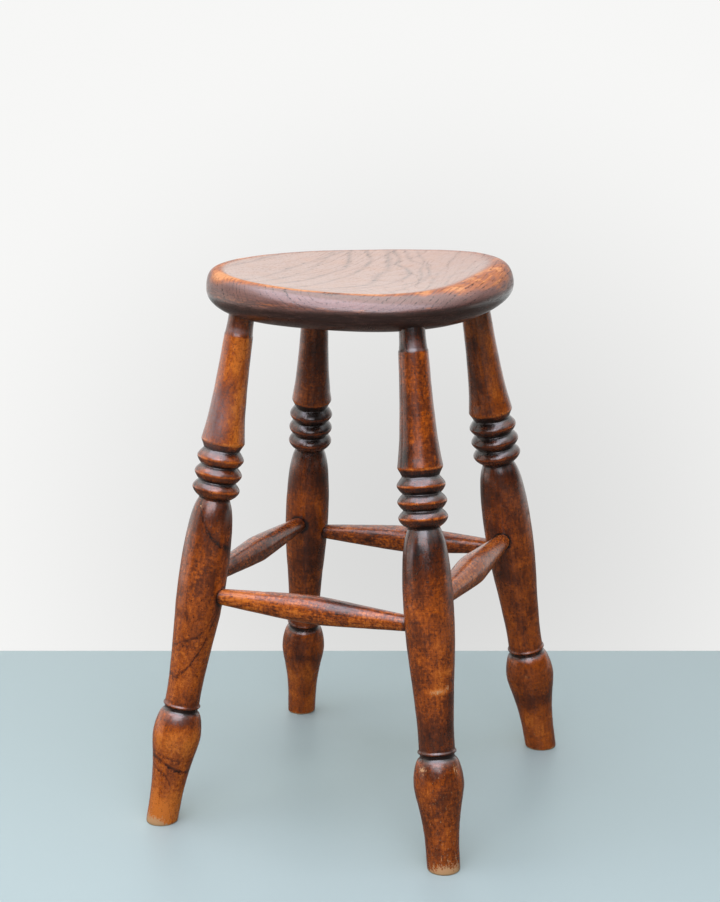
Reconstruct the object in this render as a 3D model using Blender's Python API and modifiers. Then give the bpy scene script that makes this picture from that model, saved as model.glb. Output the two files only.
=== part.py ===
"""Windsor stool: a dished elm seat on four turned beech legs, tied low down by four turned stretchers.

Metres, +Z up, the front faces -Y. The origin is on the floor under the middle of the stool.
Every joint is a round tenon in a blind socket, with the glue line as a small clearance.
"""
import math
from collections import namedtuple

import bmesh
import bpy
from mathutils import Vector

STOOL_HEIGHT = 0.5097          # floor to the highest point of the seat's crest

# Seat: one board, nearly round with soft corners over the legs, dished on top and well rounded below
SEAT_WIDTH = 0.273             # across X, at the widest line of the rim
SEAT_DEPTH = 0.273             # across Y, at the widest line of the rim
SEAT_CORNERS = 0.0076          # the outline's four soft corners stand out this far beyond an ellipse
RIM_BELOW = 0.023              # from the underside up to the widest line
RIM_ABOVE = 0.0155             # from the widest line up to the crest round the dish
UNDERSIDE_INSET = 0.044        # from the widest line in to the edge of the flat underside
CREST_INSET = 0.020            # from the widest line in to the crest, on average
CREST_SWING = 0.006            # the crest swings out and in by this, twice round the rim
CREST_TURN = math.radians(50)  # the crest is furthest out in this direction, seen from +X
DISH_DEPTH = 0.009             # the dish's middle below the crest
SADDLE = 0.0032                # the crest rises and falls by this, twice round the rim
SADDLE_TURN = math.radians(34)  # the crest is highest in this direction, seen from +X
SEAT_UNDERSIDE = STOOL_HEIGHT - SADDLE - RIM_ABOVE - RIM_BELOW  # the flat underside, above the floor

# Where the legs stand
SOCKET_INSET_X = 0.056         # each leg's socket, in from the seat's widest line across X
SOCKET_INSET_Y = 0.047         # each leg's socket, in from the seat's widest line across Y
SPLAY_X = 0.0555               # each foot stands out this far beyond its socket, across X
SPLAY_Y = 0.063                # each foot stands out this far beyond its socket, across Y

# Leg, turned. Lengths are along its own axis, upwards from the floor
FOOT_RADIUS = 0.0148
BULB_HEIGHT = 0.0795           # floor to the thickest part of the bulb
BULB_RADIUS = 0.0225
COLLAR_RISE = 0.029            # bulb to the thin collar above it
COLLAR_RADIUS = 0.0177
COLLAR_HEIGHT = 0.008
ANKLE_RADIUS = 0.0163          # beside the collar, the leg's waist
THIGH_RISE = 0.1235            # collar to the thickest part of the thigh
THIGH_RADIUS = 0.0223
NECK_RISE = 0.0765             # thigh to the narrow neck under the rings
NECK_RADIUS = 0.0148
RING_COUNT = 3
RING_PITCH = 0.0151
RING_RADIUS = 0.0218
GROOVE_RADIUS = 0.0174         # between the rings
FLARE_LIP = 0.0075             # top groove to the crisp edge of the flared top
FLARE_RADIUS = 0.0202
TOP_RADIUS = 0.0131            # upper end of the flare
NECKING = 0.012                # length of the narrow neck just under the seat
LEG_TENON_RADIUS = 0.0116
LEG_TENON_SHOWS = 0.004        # straight part of the tenon below the seat
LEG_TENON_LENGTH = 0.024       # straight part of the tenon above the level of the underside

# Stretchers, turned. Heights are above the floor, on the legs' axes
FRONT_STRETCHER_HEIGHT = 0.216
BACK_STRETCHER_HEIGHT = 0.212
LEFT_STRETCHER_HEIGHT = 0.225
RIGHT_STRETCHER_HEIGHT = 0.229
STRETCHER_RADIUS = 0.013       # at the middle
STRETCHER_TENON_RADIUS = 0.007
STRETCHER_TENON_STOP = 0.008   # each tenon ends this far short of the leg's axis

CLEARANCE = 0.0003             # glue line round and beyond every tenon

# Character of the turned curves
FOOT_LAG = 1.5                 # over 1 keeps the foot slim for longer before it swells into the bulb
BULB_FULLNESS = 0.9            # of the shoulder over the bulb: smaller is fatter
THIGH_FULLNESS = 0.6           # of the shoulder over the thigh
RING_SOFTNESS = 0.3            # of the rings' edges: 0 is sharp
STRETCHER_SOFTNESS = 0.12      # of the stretchers' middles
FLARE_STRAIGHT = 0.45          # share of the flared top's taper that is straight, the rest being its bell
FLARE_POWER = 3.5              # how quickly the bell closes in above its lip

# Fineness of the solids
LEG_SIDES = 24
STRETCHER_SIDES = 20
SEAT_SIDES = 60
RIM_STEPS = 6                  # rings of the seat below its widest line, and again above it
DISH_SHARES = (0.85, 0.65, 0.4, 0.15)

# The stool was bored and turned by eye, so each leg has its own small differences from the even plan:
# where its foot and socket are, how far up its bulb and collar and its thigh and rings sit, and its girth
Leg = namedtuple("Leg", "side end foot_shift socket_shift bulb_shift ring_shift girth")
LEGS = {
    "front_left_leg": Leg(-1, -1, (-0.0035, 0.0), (0.002, 0.0015), 0.006, 0.0035, 0.98),
    "front_right_leg": Leg(1, -1, (0.0035, 0.0), (0.004, -0.0025), -0.002, -0.002, 1.0),
    "back_left_leg": Leg(-1, 1, (0.0075, 0.0), (-0.0005, -0.005), -0.001, -0.003, 0.97),
    "back_right_leg": Leg(1, 1, (0.0, 0.0), (-0.003, 0.004), 0.0015, 0.0005, 1.045),
}

# Each stretcher's two legs, its mean height, how much lower its first end is than its second, and how
# stout its middle is
Stretcher = namedtuple("Stretcher", "first second height slope girth")
STRETCHERS = {
    "front_stretcher": Stretcher("front_left_leg", "front_right_leg", FRONT_STRETCHER_HEIGHT, -0.002, 1.0),
    "back_stretcher": Stretcher("back_left_leg", "back_right_leg", BACK_STRETCHER_HEIGHT, 0.004, 1.0),
    "left_stretcher": Stretcher("back_left_leg", "front_left_leg", LEFT_STRETCHER_HEIGHT, 0.007, 0.97),
    "right_stretcher": Stretcher("back_right_leg", "front_right_leg", RIGHT_STRETCHER_HEIGHT, 0.003, 1.11),
}

ELM_BROWN = (0.14, 0.055, 0.024, 1.0)
BEECH_BROWN = (0.16, 0.052, 0.016, 1.0)


def rise(u, lag=1.0):
    """An S from 0 to 1 over u from 0 to 1, as a hollow that runs into a swell; lag starts it later."""
    return 0.5 - 0.5 * math.cos(math.pi * u ** lag)


def dome(u, fullness):
    """The fall from 1 to 0 of a rounded shoulder; a smaller fullness keeps it fat for longer."""
    return (1.0 - u * u) ** fullness


def flare(u):
    """The fall from 1 to 0 of a bell, quick at its lip and then nearly straight."""
    return FLARE_STRAIGHT * (1.0 - u) + (1.0 - FLARE_STRAIGHT) * (1.0 - u) ** FLARE_POWER


def peak(u, softness):
    """Two slopes from 0 up to 1 at u = 0, for u from -1 to 1, with a rounded top."""
    top = math.hypot(1.0, softness) - softness
    return 1.0 - (math.hypot(u, softness) - softness) / top


def stretch(start, end, curve, steps):
    """Points (radius, height) after start up to end, where curve(u) goes from start's radius to end's."""
    return [
        (start[0] + (end[0] - start[0]) * curve(i / steps), start[1] + (end[1] - start[1]) * i / steps)
        for i in range(1, steps + 1)
    ]


def foot_point(leg):
    x = SEAT_WIDTH / 2 - SOCKET_INSET_X + SPLAY_X
    y = SEAT_DEPTH / 2 - SOCKET_INSET_Y + SPLAY_Y
    return Vector((leg.side * x + leg.foot_shift[0], leg.end * y + leg.foot_shift[1], 0.0))


def socket_point(leg):
    """Where the leg's axis meets the level of the seat's underside."""
    x = leg.side * (SEAT_WIDTH / 2 - SOCKET_INSET_X) + leg.socket_shift[0]
    y = leg.end * (SEAT_DEPTH / 2 - SOCKET_INSET_Y) + leg.socket_shift[1]
    return Vector((x, y, SEAT_UNDERSIDE))


def leg_outline(leg):
    """(radius, length along the axis) from below the foot up to the end of the tenon."""
    length = (socket_point(leg) - foot_point(leg)).length
    bulb = (BULB_RADIUS, BULB_HEIGHT + leg.bulb_shift)
    collar = bulb[1] + COLLAR_RISE
    thigh = (THIGH_RADIUS, BULB_HEIGHT + COLLAR_RISE + THIGH_RISE + leg.ring_shift)
    neck = (NECK_RADIUS, thigh[1] + NECK_RISE)
    flare_top = (TOP_RADIUS, length - NECKING)
    tenon_foot = (LEG_TENON_RADIUS, length - LEG_TENON_SHOWS)
    # The foot is left long by its own radius, to be sawn level with the floor
    points = [(0.0, -FOOT_RADIUS), (FOOT_RADIUS, -FOOT_RADIUS), (FOOT_RADIUS, 0.0)]
    points += stretch(points[-1], bulb, lambda u: rise(u, FOOT_LAG), 5)
    ankle = (ANKLE_RADIUS, collar - COLLAR_HEIGHT / 2)
    points += stretch(bulb, ankle, lambda u: 1 - dome(u, BULB_FULLNESS), 5)
    points += [(COLLAR_RADIUS, collar), (ANKLE_RADIUS, collar + COLLAR_HEIGHT / 2)]
    points += stretch(points[-1], thigh, rise, 6)
    points += stretch(thigh, neck, lambda u: 1 - dome(u, THIGH_FULLNESS), 6)
    for ring in range(RING_COUNT):
        low = points[-1]
        high = (GROOVE_RADIUS, neck[1] + (ring + 1) * RING_PITCH)
        middle = (RING_RADIUS, high[1] - RING_PITCH / 2)
        points += stretch(low, middle, lambda u: peak(1 - u, RING_SOFTNESS), 2)
        points += stretch(middle, high, lambda u: 1 - peak(u, RING_SOFTNESS), 2)
    lip = (FLARE_RADIUS, points[-1][1] + FLARE_LIP)
    points.append(lip)
    points += stretch(lip, flare_top, lambda u: 1 - flare(u), 5)
    points = [(radius * leg.girth, along) for radius, along in points]
    tenon_end = length + LEG_TENON_LENGTH
    points += [tenon_foot, (LEG_TENON_RADIUS, tenon_end), (0.0, tenon_end)]
    return points


def leg_radius(leg, height):
    """The leg's radius where its axis is at this height above the floor."""
    foot = foot_point(leg)
    along = height * (socket_point(leg) - foot).length / SEAT_UNDERSIDE
    points = leg_outline(leg)
    for (r0, s0), (r1, s1) in zip(points, points[1:]):
        if s0 <= along < s1:
            return r0 + (r1 - r0) * (along - s0) / (s1 - s0)
    raise ValueError("no leg at this height")


def axis_point(leg, height):
    return foot_point(leg).lerp(socket_point(leg), height / SEAT_UNDERSIDE)


def stretcher_ends(stretcher):
    """The points on the two legs' axes that the stretcher's own axis runs through."""
    first = axis_point(LEGS[stretcher.first], stretcher.height - stretcher.slope / 2)
    second = axis_point(LEGS[stretcher.second], stretcher.height + stretcher.slope / 2)
    return first, second


def stretcher_outline(stretcher):
    """(radius, place along the axis) from the first tenon's end to the second's, measured from midway."""
    first, second = stretcher_ends(stretcher)
    half = (second - first).length / 2
    root_a = (STRETCHER_TENON_RADIUS, leg_radius(LEGS[stretcher.first], first.z) - half)
    root_b = (STRETCHER_TENON_RADIUS, half - leg_radius(LEGS[stretcher.second], second.z))
    middle = (STRETCHER_RADIUS * stretcher.girth, (root_a[1] + root_b[1]) / 2)
    end = half - STRETCHER_TENON_STOP
    points = [(0.0, -end), (STRETCHER_TENON_RADIUS, -end), root_a]
    points += stretch(root_a, middle, lambda u: peak(1 - u, STRETCHER_SOFTNESS), 5)
    points += stretch(middle, root_b, lambda u: 1 - peak(u, STRETCHER_SOFTNESS), 5)
    points += [(STRETCHER_TENON_RADIUS, end), (0.0, end)]
    return points


def ring_points(inset, height, lift=0.0, swing=0.0, share=1.0):
    """One outline of the seat: in from its widest line, lifted by the saddle, shrunk to a share of itself."""
    points = []
    for i in range(SEAT_SIDES):
        angle = 2 * math.pi * i / SEAT_SIDES
        corner = SEAT_CORNERS * math.sin(2 * angle) ** 2
        out = corner - inset + swing * math.cos(2 * (angle - CREST_TURN))
        x = share * (SEAT_WIDTH / 2 + out) * math.cos(angle)
        y = share * (SEAT_DEPTH / 2 + out) * math.sin(angle)
        points.append((x, y, height + lift * math.cos(2 * (angle - SADDLE_TURN))))
    return points


def seat_rings():
    """The seat's outlines from the edge of the flat underside, round the rim and in to the dish's middle."""
    widest = SEAT_UNDERSIDE + RIM_BELOW
    rings = []
    for step in range(RIM_STEPS):
        angle = math.pi / 2 * (1 - step / RIM_STEPS)
        inset = UNDERSIDE_INSET * (1 - math.cos(angle))
        rings.append(ring_points(inset, widest - RIM_BELOW * math.sin(angle)))
    for step in range(RIM_STEPS):
        angle = math.pi / 2 * step / (RIM_STEPS - 1)
        up = math.sin(angle)
        rings.append(ring_points(CREST_INSET * (1 - math.cos(angle)), widest + RIM_ABOVE * up, SADDLE * up,
                                 CREST_SWING * up))
    for share in DISH_SHARES:
        drop = DISH_DEPTH * (1 - share * share)
        rings.append(ring_points(CREST_INSET, widest + RIM_ABOVE - drop, SADDLE * share * share, CREST_SWING,
                                 share))
    return rings


def collection(name):
    made = bpy.data.collections.new(name)
    bpy.context.scene.collection.children.link(made)
    return made


def add(name, mesh, group):
    obj = bpy.data.objects.new(name, mesh)
    group.objects.link(obj)
    return obj


def finish(obj, color, roughness):
    material = bpy.data.materials.new(obj.name + "_wood")
    material.use_nodes = True
    shader = material.node_tree.nodes["Principled BSDF"]
    shader.inputs["Base Color"].default_value = color
    shader.inputs["Roughness"].default_value = roughness
    shader.inputs["Metallic"].default_value = 0.0
    obj.data.materials.append(material)


def turned(name, outline, sides, group):
    """A turned piece along its own Z: a profile that runs down its outer side, swept by a Screw."""
    mesh = bpy.data.meshes.new(name)
    profile = [(radius, 0.0, along) for radius, along in reversed(outline)]
    mesh.from_pydata(profile, [(i, i + 1) for i in range(len(profile) - 1)], [])
    obj = add(name, mesh, group)
    screw = obj.modifiers.new("turning", "SCREW")
    screw.axis = "Z"
    screw.angle = 2 * math.pi
    screw.steps = sides
    screw.render_steps = sides
    screw.use_merge_vertices = True
    screw.merge_threshold = 0.00001
    screw.use_smooth_shade = True
    return obj


def aim(obj, place, direction):
    obj.location = place
    obj.rotation_mode = "QUATERNION"
    obj.rotation_quaternion = direction.to_track_quat("Z", "Y")


def as_cutter(obj):
    obj.hide_render = True
    obj.display_type = "WIRE"
    return obj


def rod_cutter(name, start, end, radius, sides, group):
    """A round cutter from start to end."""
    mesh = bpy.data.meshes.new(name)
    bm = bmesh.new()
    bmesh.ops.create_cone(bm, cap_ends=True, segments=sides, radius1=radius, radius2=radius,
                          depth=(end - start).length)
    bm.to_mesh(mesh)
    bm.free()
    obj = as_cutter(add(name, mesh, group))
    aim(obj, (start + end) / 2, end - start)
    return obj


def floor_cutter(group):
    """A block under the floor that saws the feet level."""
    reach = 2 * max(SEAT_WIDTH + 2 * SPLAY_X, SEAT_DEPTH + 2 * SPLAY_Y)
    depth = 4 * FOOT_RADIUS
    mesh = bpy.data.meshes.new("floor_saw")
    bm = bmesh.new()
    bmesh.ops.create_cube(bm, size=1.0)
    bmesh.ops.scale(bm, vec=(reach, reach, depth), verts=bm.verts)
    bmesh.ops.translate(bm, vec=(0.0, 0.0, -depth / 2), verts=bm.verts)
    bm.to_mesh(mesh)
    bm.free()
    return as_cutter(add("floor_saw", mesh, group))


def cut(obj, cutter):
    boolean = obj.modifiers.new(cutter.name, "BOOLEAN")
    boolean.operation = "DIFFERENCE"
    boolean.solver = "EXACT"
    boolean.object = cutter


def make_seat(parts, cutters):
    rings = seat_rings()
    verts = [point for ring in rings for point in ring]
    faces = [list(reversed(range(SEAT_SIDES)))]
    for k in range(len(rings) - 1):
        low, high = k * SEAT_SIDES, (k + 1) * SEAT_SIDES
        for i in range(SEAT_SIDES):
            j = (i + 1) % SEAT_SIDES
            faces.append((low + i, low + j, high + j, high + i))
    middle = len(verts)
    verts.append((0.0, 0.0, SEAT_UNDERSIDE + RIM_BELOW + RIM_ABOVE - DISH_DEPTH))
    last = (len(rings) - 1) * SEAT_SIDES
    faces += [(last + i, last + (i + 1) % SEAT_SIDES, middle) for i in range(SEAT_SIDES)]
    mesh = bpy.data.meshes.new("seat")
    mesh.from_pydata(verts, [], faces)
    mesh.shade_smooth()
    seat = add("seat", mesh, parts)
    finish(seat, ELM_BROWN, 0.4)
    for name, leg in LEGS.items():
        foot, mouth = foot_point(leg), socket_point(leg)
        axis = (mouth - foot).normalized()
        start = mouth - axis * (NECKING + LEG_TENON_RADIUS)
        end = mouth + axis * (LEG_TENON_LENGTH + CLEARANCE)
        cut(seat, rod_cutter(name + "_socket", start, end, LEG_TENON_RADIUS + CLEARANCE, LEG_SIDES, cutters))


def make_legs(parts, cutters):
    saw = floor_cutter(cutters)
    for name, leg in LEGS.items():
        obj = turned(name, leg_outline(leg), LEG_SIDES, parts)
        foot = foot_point(leg)
        aim(obj, foot, socket_point(leg) - foot)
        finish(obj, BEECH_BROWN, 0.35)
        cut(obj, saw)


def make_stretchers(parts, cutters):
    for name, stretcher in STRETCHERS.items():
        first, second = stretcher_ends(stretcher)
        obj = turned(name, stretcher_outline(stretcher), STRETCHER_SIDES, parts)
        aim(obj, (first + second) / 2, second - first)
        finish(obj, BEECH_BROWN, 0.4)
        for leg_name, here, there in ((stretcher.first, first, second), (stretcher.second, second, first)):
            axis = (there - here).normalized()
            start = here + axis * (STRETCHER_TENON_STOP - CLEARANCE)
            end = here + axis * 2 * THIGH_RADIUS
            socket = rod_cutter(name + "_in_" + leg_name, start, end, STRETCHER_TENON_RADIUS + CLEARANCE,
                                STRETCHER_SIDES, cutters)
            cut(parts.objects[leg_name], socket)


def main():
    for obj in list(bpy.data.objects):
        bpy.data.objects.remove(obj)
    parts = collection("windsor_stool")
    cutters = collection("cutters")
    make_seat(parts, cutters)
    make_legs(parts, cutters)
    make_stretchers(parts, cutters)


main()
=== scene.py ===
"""Windsor stool: a worn elm seat on four ring-turned beech legs, joined by four stretchers."""
import math
import random
from collections import namedtuple
from functools import partial

import bpy
from bpy.props import FloatProperty, FloatVectorProperty, PointerProperty
from mathutils import Euler, Matrix, Vector, noise


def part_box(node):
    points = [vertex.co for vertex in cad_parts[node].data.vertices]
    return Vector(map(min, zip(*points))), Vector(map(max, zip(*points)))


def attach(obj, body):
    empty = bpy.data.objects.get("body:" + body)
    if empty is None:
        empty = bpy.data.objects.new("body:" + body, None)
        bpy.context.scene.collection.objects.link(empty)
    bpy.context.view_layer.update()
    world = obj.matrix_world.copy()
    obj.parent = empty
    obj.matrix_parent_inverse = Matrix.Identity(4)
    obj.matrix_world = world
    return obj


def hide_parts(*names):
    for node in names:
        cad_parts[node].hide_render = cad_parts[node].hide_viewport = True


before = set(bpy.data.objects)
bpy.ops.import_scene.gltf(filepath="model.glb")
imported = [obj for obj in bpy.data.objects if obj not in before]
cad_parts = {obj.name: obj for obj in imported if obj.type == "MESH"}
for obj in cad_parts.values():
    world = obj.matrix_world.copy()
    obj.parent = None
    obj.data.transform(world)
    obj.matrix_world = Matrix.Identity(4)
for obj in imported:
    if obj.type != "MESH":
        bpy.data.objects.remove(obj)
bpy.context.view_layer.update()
SEAT_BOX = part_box("seat")

bl_info = {
    "name": "Windsor Stool",
    "version": (1, 0, 0),
    "blender": (4, 5, 0),
    "location": "View3D > Sidebar > Stool",
    "description": "Builds a worn windsor stool: a dished elm seat on ring-turned beech legs",
    "category": "Add Mesh",
}

MM = 0.001
VIEW_TURN = math.radians(21.654)          # the camera looks this far to the left of +Y
TOWARDS_VIEWER = VIEW_TURN - math.pi / 2  # round a leg, from +X: the side that the camera sees
AWAY = Vector((-math.sin(VIEW_TURN), math.cos(VIEW_TURN), 0.0))  # level, straight away from the viewer
STAGE_REACH = 14.0             # the floor's radius, and half the wall's width
LEG_SIDES = 72
STRETCHER_SIDES = 56
SEAT_SIDES = 240
FLOOR_SIDES = 96

# The seat, in metres. Its outline is an ellipse with four soft corners
UNDERSIDE = 0.468              # its flat underside, above the floor
RIM_BELOW = 0.023              # underside up to its widest line
RIM_ABOVE = 0.0155             # widest line up to the crest round the dish
RIM_RUN = 28 * MM              # widest line to the crest, over the rim
DISH_RUN = 0.12                # crest to the middle of the dish
SEAT_CORNER = 7.6 * MM         # what each corner adds to the half width
ROUND_BELOW = 44 * MM          # how far the rim draws in from its widest line to the underside
ROUND_ABOVE = 20 * MM          # and to the crest
CREST_SWING = 6 * MM           # how far the crest swings out and in again
CREST_LIFT = 3.2 * MM          # and up and down

# Each leg: its foot on the floor, its axis at the underside, how many millimetres higher than usual its
# bulb and its rings sit, its girth against the usual one, and how many millimetres it bows to the viewer's
# right at the foot, the thigh and the top. Then how deep its stain is, how mottled it is, how strong its
# growth lines are, how far round from the viewer its growth faces (degrees), how much deeper the stain is
# on the rings and on the neck under the seat, how far the rings' noses are rubbed through, and its own seed
Leg = namedtuple("Leg", "foot socket bulb_shift ring_shift girth bow stain mottle figure heart ring_stain "
                        "neck_stain rub seed")
LEGS = {
    "front_left_leg": Leg((-0.1395, -0.1525), (-0.0785, -0.088), 6.0, 3.5, 0.98, (-0.3, 1.4, -2.4),
                          0.3, 0.8, 0.15, 12, 0.32, 0.3, 0.6, 11),
    "front_right_leg": Leg((0.1395, -0.1525), (0.0845, -0.092), -2.0, -2.0, 1.0, (0.0, 0.2, -0.2),
                           0.49, 0.75, 0.12, 100, 0.33, 0.38, 1.0, 23),
    "back_left_leg": Leg((-0.1285, 0.1525), (-0.081, 0.0845), -1.0, -3.0, 0.97, (0.2, -1.1, 0.6),
                         0.45, 0.6, 0.15, 60, 0.4, 0.3, 0.6, 37),
    "back_right_leg": Leg((0.136, 0.1525), (0.0775, 0.0935), 1.5, 0.5, 1.045, (0.0, -0.2, 0.1),
                          0.44, 0.6, 0.15, 140, 0.4, 0.3, 0.5, 41),
}

# Each stretcher: its two legs, its height on each leg's axis, its thickest radius in millimetres, how soft
# its middle is, how deep its stain is, and its seed
Stretcher = namedtuple("Stretcher", "first second low high radius softness stain seed")
STRETCHERS = {
    "front_stretcher": Stretcher("front_left_leg", "front_right_leg", 0.217, 0.215, 13.0, 0.15, 0.38, 5),
    "back_stretcher": Stretcher("back_left_leg", "back_right_leg", 0.210, 0.214, 13.1, 0.15, 0.5, 6),
    "left_stretcher": Stretcher("back_left_leg", "front_left_leg", 0.2215, 0.2285, 12.7, 0.08, 0.55, 7),
    "right_stretcher": Stretcher("back_right_leg", "front_right_leg", 0.2275, 0.2305, 14.4, 0.08, 0.37, 8),
}

# The leg's turning, as stretches between crisp edges: (millimetres up the axis, radius)
TURNING = (
    ((0, 13.9), (0.9, 14.6), (4, 14.8), (20, 15.1), (30, 15.6), (40, 16.5), (50, 17.8), (60, 19.5),
     (70, 21.5), (79.5, 22.6), (86, 22.2), (92, 21.2), (98, 19.6), (102, 17.6), (103.6, 15.8)),
    ((103.6, 15.8), (105.5, 15.5), (107.1, 15.9), (107.6, 16.9), (108.5, 17.5)),
    ((108.5, 17.5), (109.2, 17.3), (110, 16.5), (111, 16.2)),
    ((111, 16.2), (120, 16.1), (130, 16.3), (150, 17.4), (170, 18.8), (190, 20.5), (210, 21.8), (232, 22.4),
     (250, 22.3), (265, 21.7), (280, 20.6), (290, 19.4), (300, 17.3), (308.3, 14.2)),
    ((308.3, 14.2), (310.6, 17.5), (313, 20.0), (315.4, 21.5), (317, 22.0), (317.8, 22.0), (319.2, 21.5),
     (321.2, 20.2), (323, 18.5), (324.3, 17.2)),
    ((324.3, 17.2), (326.3, 19.1), (328.8, 20.9), (330.8, 21.9), (332, 22.0), (333.3, 21.6), (335, 20.6),
     (337, 18.9), (338.8, 17.0)),
    ((338.8, 17.0), (340.8, 18.9), (343.2, 20.6), (345.2, 21.6), (346.4, 21.7), (347.7, 21.3),
     (349.5, 20.2), (351.6, 18.6), (354, 16.6)),
    ((354, 16.6), (357, 17.9), (360.2, 19.6), (361.6, 20.2)),
    ((361.6, 20.2), (364, 19.9), (370, 19.0), (378, 17.9), (386, 17.0), (396, 16.2), (408, 15.4),
     (420, 14.7), (436, 14.0), (450, 13.6), (461, 13.2)),
    ((461, 13.2), (462.2, 12.5), (474.5, 11.7), (494, 11.6)),
)
# Millimetres up the leg
TURNING_LANDMARKS = (0, 79.5, 111, 232, 361.6, 461, 474.5)
RINGS = (309, 360)             # the lowest and the highest groove of the three rings
COLLAR_LIP = 108.5             # the thin lip above the bulb
SHOULDER = 462                 # above it every leg is as thick as its socket in the seat
NECK = 13.5                    # how long the neck under the seat is
BOW_PLACES = (0, 200, 480)     # where a leg's bow is given
# The three rings' noses and the lip above them, and how far each is rubbed through
NOSES = ((317.6, 1.0), (331.8, 1.0), (346.2, 1.0), (361.6, 0.55))
LIP_RUBBED = 0.1

# The stretchers, in millimetres from a leg's axis
TENON_END = 8
LEG_FACE = 21.0                # where a stretcher leaves the leg
TENON_RADIUS = 7.2

# Marks kept on the points of a mesh. On the seat: the worn dish, the rubbed crest, the whole stain low on
# the rim with painted shade there too, the scraped edge, and where hands take the wax off. On turned pieces:
# old polish with painted shade, stain worn thin with a little painted light, bare wood, and wax gone grey
# with painted sheen
ELM_MARKS = ("dish", "crest", "under", "edge", "held")
BEECH_MARKS = ("grime_and_shade", "wear_and_light", "bare", "bloom_and_sheen")

# Places where use and time have left a mark, and some places of painted light and shade: what it is,
# millimetres up the piece, degrees to the right of the side that faces the viewer (on a stretcher, from its
# top), how far it reaches along and round, its strength, and its slant
Patch = namedtuple("Patch", "mark along turn reach_along reach_round strength slant", defaults=(0.0,))
PATCHES = {
    "front_left_leg": (
        # The two blooms on the flare's left are partly a painted reflection
        Patch("bloom_and_sheen", 386, -42, 24, 13, 1.4),
        Patch("wear_and_light", 388, 34, 26, 9, 0.3),
        Patch("bloom_and_sheen", 430, -55, 40, 5, 0.5),
        Patch("grime_and_shade", 390, -30, 28, 14, 0.28),
        Patch("wear_and_light", 398, 20, 3, 3, 0.4),
        Patch("wear_and_light", 425, 15, 40, 9, 0.15),
        Patch("wear_and_light", 84, -10, 11, 24, 0.35),
        Patch("grime_and_shade", 122, 45, 10, 11, 0.3),
        Patch("grime_and_shade", 104, 5, 7, 22, 0.45),
        Patch("bloom_and_sheen", 104, -10, 4, 10, 0.7),
        Patch("grime_and_shade", 225, -45, 60, 10, 0.15),
        Patch("wear_and_light", 8, 0, 22, 60, 0.4),
        Patch("grime_and_shade", 225, 30, 60, 16, 0.2),
        Patch("bare", 275, -66, 14, 1.2, 0.6),
        Patch("bare", 305, -40, 5, 1.6, 0.6),
        Patch("bare", 0, -40, 7, 12, 1.1),
        # Painted highlight across the neck
        Patch("bloom_and_sheen", 467, -10, 2, 9, 1.6),
    ),
    "front_right_leg": (
        Patch("wear_and_light", 383, -20, 2.5, 2.5, 0.6),
        Patch("wear_and_light", 368, 42, 4, 2.5, 0.4, 0.5),
        Patch("bloom_and_sheen", 286, -38, 9, 1.8, 0.9, 0.1),
        Patch("wear_and_light", 200, 25, 40, 9, 0.2),
        Patch("wear_and_light", 163, 14, 3.5, 10, 0.75),
        Patch("bare", 163, 10, 2.8, 8, 0.72),
        Patch("bare", 166, 40, 3.0, 2.5, 0.65),
        Patch("bare", 0, 20, 6, 14, 1.0),
        Patch("wear_and_light", 180, 48, 4, 5, 0.5, 0.6),
        Patch("grime_and_shade", 150, 50, 40, 6, 0.25),
        Patch("grime_and_shade", 122, 0, 14, 60, 0.22),
        Patch("grime_and_shade", 93, 0, 8, 12, 0.25),
        Patch("grime_and_shade", 372, -45, 12, 12, 0.4),
        Patch("grime_and_shade", 372, 40, 12, 9, 0.25),
        Patch("grime_and_shade", 410, -45, 50, 7, 0.25),
        Patch("grime_and_shade", 275, -30, 18, 20, 0.15),
        Patch("bare", 94, -45, 2.5, 5, 0.65),
        Patch("bare", 92, 50, 5, 3, 0.6),
        Patch("bare", 60, 0, 60, 60, 0.2),
        # Painted highlight on the neck
        Patch("bloom_and_sheen", 466, 5, 4, 5, 0.8),
    ),
    "back_right_leg": (
        # Painted shade on the thigh's left
        Patch("grime_and_shade", 215, -40, 45, 14, 0.3),
        Patch("grime_and_shade", 60, 0, 12, 40, 0.15),
        Patch("wear_and_light", 20, 0, 30, 40, 0.2),
        Patch("wear_and_light", 282, -15, 22, 13, 0.15),
        # Painted light on the flare's right
        Patch("wear_and_light", 400, 20, 45, 9, 0.15),
        Patch("bare", 88, -15, 1.5, 9, 0.5),
        # Painted shade on the flare's left
        Patch("grime_and_shade", 400, -45, 50, 12, 0.2),
    ),
    "back_left_leg": (
        # The next two are painted shade: on the thigh's right, and high on the leg under the seat
        Patch("grime_and_shade", 190, 30, 40, 18, 0.3),
        Patch("grime_and_shade", 400, 15, 60, 16, 0.25),
        Patch("wear_and_light", 30, 0, 40, 20, 0.2),
        Patch("wear_and_light", 264, -12, 20, 14, 0.2),
        Patch("grime_and_shade", 92, -25, 16, 9, 0.3),
        Patch("grime_and_shade", 74, 5, 5, 16, 0.3),
    ),
    "front_stretcher": (
        Patch("grime_and_shade", 140, 40, 16, 8, 0.3),
        Patch("grime_and_shade", 140, 8, 50, 6, 0.35),
        Patch("wear_and_light", 45, 55, 30, 16, 0.35),
    ),
}

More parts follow.
